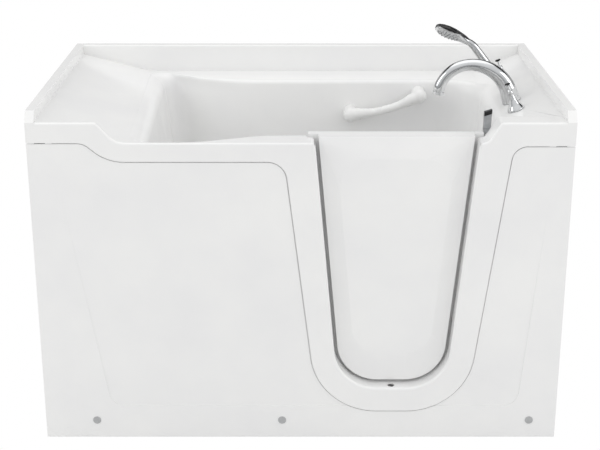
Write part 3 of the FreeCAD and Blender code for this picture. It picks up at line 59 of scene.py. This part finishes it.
# Mottle of every finish: noise detail, the part of its range that is used, strength of its relief
MOTTLE_DETAIL = 3.0
MOTTLE_SPAN = (0.3, 0.7)
BUMP_STRENGTH = 0.4

# Scale of a pattern that runs in lines along the tub
GRAIN_ALONG_X = (0.05, 1.0, 1.0)

# Moulded and plated pieces that keep the CAD shape: node, body it rides, angle of a sharp edge
SMOOTHED = (
    ("front_apron", "tub", 34),
    ("grab_bar", "tub", 60),
    ("spout", "tub", 40),
    ("front_handle_bell", "tub", 40),
    ("rear_handle_bell", "tub", 40),
    ("shower_holder", "tub", 40),
    ("overflow_plate", "tub", 30),
    ("apron_screw_caps", "tub", 30),
    ("door_outer_panel", "door", 34),
    ("door_inner_panel", "door", 34),
    ("shower_body", "shower", 45),
    ("shower_face", "shower", 30),
)

# Angle of a sharp edge on the shell, and on the fittings that are cut or joined here
SHELL_CREASE = 34
FITTING_CREASE = 40

# Weep hole in the sill: axis, reach of its lower rim, and that rim's undercut
WEEP_AXIS = (268.5 * MM, -437.0 * MM)
WEEP_RIM_RADIUS = 10.5 * MM
WEEP_RIM_TOP = 164.0 * MM
WEEP_UNDERCUT = 1.35

# Latch lever: painted dark reflection on its tip, which takes a black finish above a cut that follows
# its slanted end
LATCH_CUT = (529.5 * MM, -362.5 * MM, 977.0 * MM)
LATCH_CUT_FACING = (-0.303, 0.0, 0.953)

# Faucet handles: the cross bar, painted black as a dark reflection on its chrome, starts this high along
# the deck's normal
DECK_NORMAL = (-0.3567, 0.0, 0.9342)
HANDLE_BAR_LEVEL = 732.3 * MM

# Hand shower: plane above which its back is black, and that skin's stand-off
BACK_POINT = (460.4 * MM, 26.0 * MM, 1146.9 * MM)
BACK_FACING = (0.326, -0.087, 0.945)
BACK_STAND_OFF = 0.5 * MM

# Floor: a wide sheet just under the feet, its colour, and the grey that polished metal sees of it
FLOOR_SIZE = 30
FLOOR_DROP = 0.5 * MM
FLOOR_COLOUR = "E4E4E4"
FLOOR_MIRRORED = "9A9B9C"

# Studio: strength at which a colour shows as written, the soft sky, and the room that metal sees
PLAIN_STRENGTH = 1.0
SKY_STRENGTH = 1.07
SKY_COLOUR = "F6F6F6"
ROOM_STRENGTH = 1.3

# Bands of that room behind the tub and in front of it, from straight down (0) to straight up (1),
# and the headings along y between which the front bands give way to the back ones
BACK_BANDS = (
    (0.3, "909090"),
    (0.4, "1C1D1E"),
    (0.51, "1C1D1E"),
    (0.54, "969696"),
    (0.71, "969696"),
    (0.735, "101112"),
    (0.86, "101112"),
    (0.9, WHITE),
)
FRONT_BANDS = (
    (0.3, "707172"),
    (0.5, "8C8D8E"),
    (0.62, "BCBDBE"),
    (0.9, "CECFD0"),
    (0.97, WHITE),
)
BANDS_MEET = (-0.15, 0.25)

# Soft lamps at both sides and a faint one overhead: name, place and target in metres, size, watts
LAMPS = (
    ("key", (-3.8, -1.2, 2.7), (0, 0, 0.7), (2.4, 2.0), 22),
    ("fill", (3.8, -1.2, 2.3), (0, 0, 0.7), (2.0, 2.0), 24),
    ("top", (-1.3, -0.3, 3.0), (0.2, 0, 0.7), (2.2, 1.8), 2),
)

# Sockets that share a name: factor and shaders of a shader mix, colours and result of a colour mix
FACTOR, FIRST, SECOND = 0, 1, 2
COLOUR_A, COLOUR_B, COLOUR_RESULT = 6, 7, 2


def linear(colour):
    """An sRGB hex colour as linear RGBA."""
    values = [int(colour[i:i + 2], 16) / 255 for i in (0, 2, 4)]
    return tuple(v / 12.92 if v <= 0.04045 else ((v + 0.055) / 1.055) ** 2.4 for v in values) + (1.0,)


def add_node(tree, kind, sockets=None, stops=(), **settings):
    """Adds a node with its settings and ramp stops; a socket takes a value or another node's output."""
    node = tree.nodes.new(kind)
    for name, value in settings.items():
        setattr(node, name, value)
    for key, value in (sockets or {}).items():
        if isinstance(value, bpy.types.NodeSocket):
            tree.links.new(value, node.inputs[key])
        else:
            node.inputs[key].default_value = value
    if stops:
        elements = node.color_ramp.elements
        while len(elements) < len(stops):
            elements.new(1.0)
        for element, (position, colour) in zip(elements, stops):
            element.position = position
            element.color = linear(colour)
    return node


def empty_tree(owner):
    """Node tree of a material or a world, with nothing in it."""
    owner.use_nodes = True
    owner.node_tree.nodes.clear()
    return owner.node_tree


def make_finish(name, colours, grain, rough, metallic=0.0, ior=1.5, bump=0.0, drawn=None):
    """Finish that wavers between two colours and two roughnesses over patches of grain mm.

    The patches stand bump mm proud, and drawn is the scale that stretches them.
    """
    material = bpy.data.materials.new(name)
    tree = empty_tree(material)
    place = add_node(tree, "ShaderNodeTexCoord").outputs["Object"]
    if drawn:
        place = add_node(tree, "ShaderNodeMapping", {"Vector": place, "Scale": drawn}).outputs["Vector"]
    noise = add_node(tree, "ShaderNodeTexNoise",
                     {"Vector": place, "Scale": 1 / (grain * MM),
                      "Detail": MOTTLE_DETAIL}).outputs["Fac"]
    colour = add_node(tree, "ShaderNodeValToRGB", {"Fac": noise}, tuple(zip(MOTTLE_SPAN, colours)))
    spread = add_node(tree, "ShaderNodeMapRange",
                      {"Value": noise, "From Min": MOTTLE_SPAN[0], "From Max": MOTTLE_SPAN[1],
                       "To Min": rough[0], "To Max": rough[1]})
    sockets = {"Base Color": colour.outputs["Color"], "Roughness": spread.outputs["Result"],
               "Metallic": metallic, "IOR": ior}
    if bump:
        dents = add_node(tree, "ShaderNodeBump",
                         {"Height": noise, "Distance": bump * MM, "Strength": BUMP_STRENGTH})
        sockets["Normal"] = dents.outputs["Normal"]
    shader = add_node(tree, "ShaderNodeBsdfPrincipled", sockets)
    add_node(tree, "ShaderNodeOutputMaterial", {"Surface": shader.outputs["BSDF"]})
    return material


def make_finishes():
    """One finish for each material slot of the record."""
    return {
        # Vacuum-formed sheet: deep gloss, a barely uneven white
        "acrylic": make_finish("gloss_acrylic", ("EDEDED", "F1F1F0"), 180, (0.16, 0.22), ior=1.49),
        # Moulded bar: softer gloss than the sheet, so that a wet hand holds
        "grab_bar_white": make_finish("moulded_abs_white", ("EAEAE9", "EFEFEE"), 60, (0.25, 0.32),
                                      ior=1.54),
        # Snap-on caps: plain mid grey, satin from the mould
        "cap_grey": make_finish("moulded_polypropylene", ("ACADAE", "B6B7B8"), 12, (0.38, 0.46),
                                ior=1.49),
        # Baked powder: dark, satin, with the dimples of orange peel, drawn coarse enough to show
        "frame_paint": make_finish("powder_coated_steel", ("3A3D40", "45484C"), 6, (0.42, 0.55),
                                   bump=0.08),
        # Rotary-cut veneer: warm wood with growth lines along the board
        "board": make_finish("birch_plywood", ("A88458", "C8A676"), 9, (0.6, 0.75), bump=0.1,
                             drawn=GRAIN_ALONG_X),
        # Zinc on steel: grey metal with faint cloudy spangle; the chrome latch lever wears it as a
        # painted duller reflection
        "plated_steel": make_finish("zinc_plated_steel", ("A9ABAD", "BEC0C2"), 9, (0.28, 0.4),
                                    metallic=1.0),
        # Moulded feet: matt black that scatters nearly all light
        "pad_rubber": make_finish("moulded_rubber", ("1C1C1D", "28282A"), 6, (0.65, 0.8), ior=1.52,
                                  bump=0.05),
        # Extruded seal: dull grey, slightly uneven along its run
        "seal_rubber": make_finish("extruded_epdm", ("96989A", "A2A4A6"), 10, (0.6, 0.72), ior=1.52,
                                   bump=0.03),
        # Belt-brushed sheet: pale metal with fine lines, drawn coarse enough to show
        "stainless": make_finish("brushed_stainless", ("BEBEBC", "D2D2D0"), 2, (0.18, 0.34),
                                 metallic=1.0, drawn=GRAIN_ALONG_X),
        # Bright plate over polished brass: a mirror with the least haze
        "chrome": make_finish("polished_chrome", ("E0E1E2", "E8E9EA"), 40, (0.05, 0.09), metallic=1.0),
        # Extruded pipe: off-white with a dull sheen
        "pipe_white": make_finish("extruded_pvc", ("D9D9D5", "E3E3DF"), 40, (0.38, 0.48), ior=1.53),
        # Turned fittings: yellow metal, lightly tarnished in patches
        "brass": make_finish("turned_brass", ("B08D4C", "C4A25F"), 14, (0.25, 0.36), metallic=1.0),
        # Moulded and polished: deep black with clear reflections; the latch tip and the handle bars wear
        # it as a painted dark reflection
        "shower_black": make_finish("gloss_abs_black", ("0C0C0D", "141416"), 15, (0.18, 0.26), ior=1.54),
        # Moulded spray face: even satin pale grey
        "shower_grey": make_finish("satin_abs_grey", ("C9CACB", "D3D4D5"), 12, (0.35, 0.45), ior=1.54),
        # Soft nozzles: dull mid grey
        "nozzle_rubber": make_finish("moulded_silicone", ("85878A", "919396"), 4, (0.6, 0.72), ior=1.41),
    }


def paint_nodes():
    """Gives every CAD node the finish of its slot."""
    for name, slot in slots.items():
        nodes[name].data.materials.clear()
        nodes[name].data.materials.append(finishes[slot])


def select_only(*pieces):
    """Selects these pieces alone and makes the last one active."""
    bpy.ops.object.select_all(action="DESELECT")
    for piece in pieces:
        piece.select_set(True)
    bpy.context.view_layer.objects.active = pieces[-1]


def copy_node(name, suffix):
    """Loose copy of a CAD node's mesh, merged and without its stored normals."""
    piece = bpy.data.objects.new(name + suffix, nodes[name].data.copy())
    scene.collection.objects.link(piece)
    select_only(piece)
    bpy.ops.mesh.customdata_custom_splitnormals_clear()
    bpy.ops.object.mode_set(mode="EDIT")
    bpy.ops.mesh.select_all(action="SELECT")
    bpy.ops.mesh.remove_doubles(threshold=MERGE)
    bpy.ops.object.mode_set(mode="OBJECT")
    return piece


def pick(piece, wanted):
    """Opens a piece for editing with the vertices that wanted accepts selected."""
    bpy.context.view_layer.objects.active = piece
    bpy.ops.object.mode_set(mode="EDIT")
    bpy.ops.mesh.select_mode(type="VERT")
    bpy.ops.mesh.select_all(action="DESELECT")
    bpy.ops.object.mode_set(mode="OBJECT")
    for vertex in piece.data.vertices:
        vertex.select = wanted(vertex.co)
    bpy.ops.object.mode_set(mode="EDIT")


def keep_side(piece, point, facing, upper=True):
    """Cuts a piece by a plane, closes it and keeps one side."""
    pick(piece, lambda place: True)
    bpy.ops.mesh.bisect(plane_co=point, plane_no=facing, use_fill=True, clear_inner=upper,
                        clear_outer=not upper)
    bpy.ops.object.mode_set(mode="OBJECT")


def settle(piece, angle, body, slot, *replaced):
    """Shades a piece with creases only at edges sharper than angle, gives it the finish of slot, sets it
    on its body and hides the nodes it replaces.
    """
    select_only(piece)
    bpy.ops.object.shade_smooth_by_angle(angle=math.radians(angle))
    weighted = piece.modifiers.new("weighted", "WEIGHTED_NORMAL")
    weighted.keep_sharp = True
    bpy.ops.object.modifier_apply(modifier="weighted")
    piece.data.materials.clear()
    piece.data.materials.append(finishes[slot])
    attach(piece, body)
    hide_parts(*replaced)


def make_shell():
    """Tub shell with soft bends and an undercut weep hole."""
    shell = copy_node("tub_shell", "_look")
    pick(shell, lambda place: place.z < WEEP_RIM_TOP and
         math.hypot(place.x - WEEP_AXIS[0], place.y - WEEP_AXIS[1]) < WEEP_RIM_RADIUS)
    bpy.ops.transform.resize(value=(WEEP_UNDERCUT, WEEP_UNDERCUT, 1),
                             center_override=(*WEEP_AXIS, WEEP_RIM_TOP))
    bpy.ops.object.mode_set(mode="OBJECT")
    settle(shell, SHELL_CREASE, "tub", "acrylic", "tub_shell")


def make_latch():
    """Chrome lever in the darker zinc finish as a painted duller reflection, with a painted dark
    reflection on its tip.
    """
    lever = copy_node("latch_lever", "_look")
    keep_side(lever, LATCH_CUT, LATCH_CUT_FACING, upper=False)
    tip = copy_node("latch_lever", "_tip_painted_reflection")
    keep_side(tip, LATCH_CUT, LATCH_CUT_FACING)
    # painted duller reflection: the chrome lever takes the darker zinc finish
    settle(lever, FITTING_CREASE, "latch", "plated_steel", "latch_lever")
    # painted dark reflection: the tip takes the black finish
    settle(tip, FITTING_CREASE, "latch", "shower_black", "latch_lever")


def make_handles():
    """Chrome handle stems, each with its cross bar painted black as a dark reflection."""
    level = [HANDLE_BAR_LEVEL * n for n in DECK_NORMAL]
    for name in ("front_handle", "rear_handle"):
        stem = copy_node(name, "_stem")
        keep_side(stem, level, DECK_NORMAL, upper=False)
        settle(stem, FITTING_CREASE, name, "chrome", name)
        bar = copy_node(name, "_bar")
        keep_side(bar, level, DECK_NORMAL)
        # painted dark reflection: the chrome cross bar takes the black finish
        settle(bar, FITTING_CREASE, name, "shower_black", name)


def make_shower_back():
    """Black back of the hand shower: the CAD cover and a skin down the sides of the head."""
    cover = copy_node("shower_back_cover", "_look")
    skin = copy_node("shower_body", "_skin")
    keep_side(skin, BACK_POINT, BACK_FACING)
    pick(skin, lambda place: True)
    bpy.ops.transform.shrink_fatten(value=BACK_STAND_OFF)
    bpy.ops.object.mode_set(mode="OBJECT")
    select_only(skin, cover)
    bpy.ops.object.join()
    settle(cover, FITTING_CREASE, "shower", "shower_black", "shower_back_cover")


def make_floor():
    """Pale floor: plain white to the camera, grey to polished metal."""
    bpy.ops.mesh.primitive_plane_add(size=FLOOR_SIZE, location=(0, 0, -FLOOR_DROP))
    floor = bpy.context.object
    floor.name = "floor"
    material = bpy.data.materials.new("floor")
    tree = empty_tree(material)
    rays = add_node(tree, "ShaderNodeLightPath")
    plain = add_node(tree, "ShaderNodeEmission",
                     {"Color": linear(WHITE), "Strength": PLAIN_STRENGTH})
    mirrored = add_node(tree, "ShaderNodeEmission",
                        {"Color": linear(FLOOR_MIRRORED), "Strength": PLAIN_STRENGTH})
    matt = add_node(tree, "ShaderNodeBsdfDiffuse", {"Color": linear(FLOOR_COLOUR)})
    shine = add_node(tree, "ShaderNodeMixShader",
                     {FACTOR: rays.outputs["Is Glossy Ray"], FIRST: matt.outputs["BSDF"],
                      SECOND: mirrored.outputs["Emission"]})
    mix = add_node(tree, "ShaderNodeMixShader",
                   {FACTOR: rays.outputs["Is Camera Ray"], FIRST: shine.outputs["Shader"],
                    SECOND: plain.outputs["Emission"]})
    add_node(tree, "ShaderNodeOutputMaterial", {"Surface": mix.outputs["Shader"]})
    floor.data.materials.append(material)


def make_world():
    """Even studio sky: plain white to the camera, light and dark bands to polished metal."""
    world = bpy.data.worlds.new("studio")
    scene.world = world
    tree = empty_tree(world)
    rays = add_node(tree, "ShaderNodeLightPath")
    heading = add_node(tree, "ShaderNodeTexCoord").outputs["Generated"]
    split = add_node(tree, "ShaderNodeSeparateXYZ", {"Vector": heading})
    height = add_node(tree, "ShaderNodeMapRange",
                      {"Value": split.outputs["Z"], "From Min": -1.0, "From Max": 1.0})
    behind = add_node(tree, "ShaderNodeMapRange",
                      {"Value": split.outputs["Y"], "From Min": BANDS_MEET[0],
                       "From Max": BANDS_MEET[1]})
    back = add_node(tree, "ShaderNodeValToRGB", {"Fac": height.outputs["Result"]}, BACK_BANDS)
    front = add_node(tree, "ShaderNodeValToRGB", {"Fac": height.outputs["Result"]}, FRONT_BANDS)
    bands = add_node(tree, "ShaderNodeMix",
                     {"Factor": behind.outputs["Result"], COLOUR_A: front.outputs["Color"],
                      COLOUR_B: back.outputs["Color"]},
                     data_type="RGBA")
    plain = add_node(tree, "ShaderNodeBackground",
                     {"Color": linear(WHITE), "Strength": PLAIN_STRENGTH})
    sky = add_node(tree, "ShaderNodeBackground",
                   {"Color": linear(SKY_COLOUR), "Strength": SKY_STRENGTH})
    room = add_node(tree, "ShaderNodeBackground",
                    {"Color": bands.outputs[COLOUR_RESULT], "Strength": ROOM_STRENGTH})
    shine = add_node(tree, "ShaderNodeMixShader",
                     {FACTOR: rays.outputs["Is Glossy Ray"], FIRST: sky.outputs["Background"],
                      SECOND: room.outputs["Background"]})
    mix = add_node(tree, "ShaderNodeMixShader",
                   {FACTOR: rays.outputs["Is Camera Ray"], FIRST: shine.outputs["Shader"],
                    SECOND: plain.outputs["Background"]})
    add_node(tree, "ShaderNodeOutputWorld", {"Surface": mix.outputs["Shader"]})


def make_lamps():
    """Soft rectangular lamps, each turned to its target."""
    for name, place, target, size, power in LAMPS:
        data = bpy.data.lights.new(name, "AREA")
        data.shape = "RECTANGLE"
        data.size, data.size_y = size
        data.energy = power
        lamp = bpy.data.objects.new(name, data)
        scene.collection.objects.link(lamp)
        lamp.location = place
        away = [p - t for p, t in zip(place, target)]
        flat = math.hypot(away[0], away[1])
        lamp.rotation_euler = (math.atan2(flat, away[2]), 0, math.atan2(away[0], -away[1]))


def make_camera():
    """Camera at the photo's place."""
    data = bpy.data.cameras.new("camera")
    data.sensor_fit = "HORIZONTAL"
    data.sensor_width = CAMERA_SENSOR
    data.lens = CAMERA_LENS
    data.shift_x = CAMERA_SHIFT
    camera = bpy.data.objects.new("camera", data)
    scene.collection.objects.link(camera)
    camera.location = CAMERA_PLACE
    camera.rotation_euler = (math.radians(CAMERA_PITCH), 0, 0)
    scene.camera = camera


finishes = make_finishes()
paint_nodes()
for name, body, angle in SMOOTHED:
    settle(copy_node(name, "_look"), angle, body, slots[name], name)
make_shell()
make_latch()
make_handles()
make_shower_back()
make_floor()
make_world()
make_lamps()
make_camera()
scene.view_settings.view_transform = "Standard"
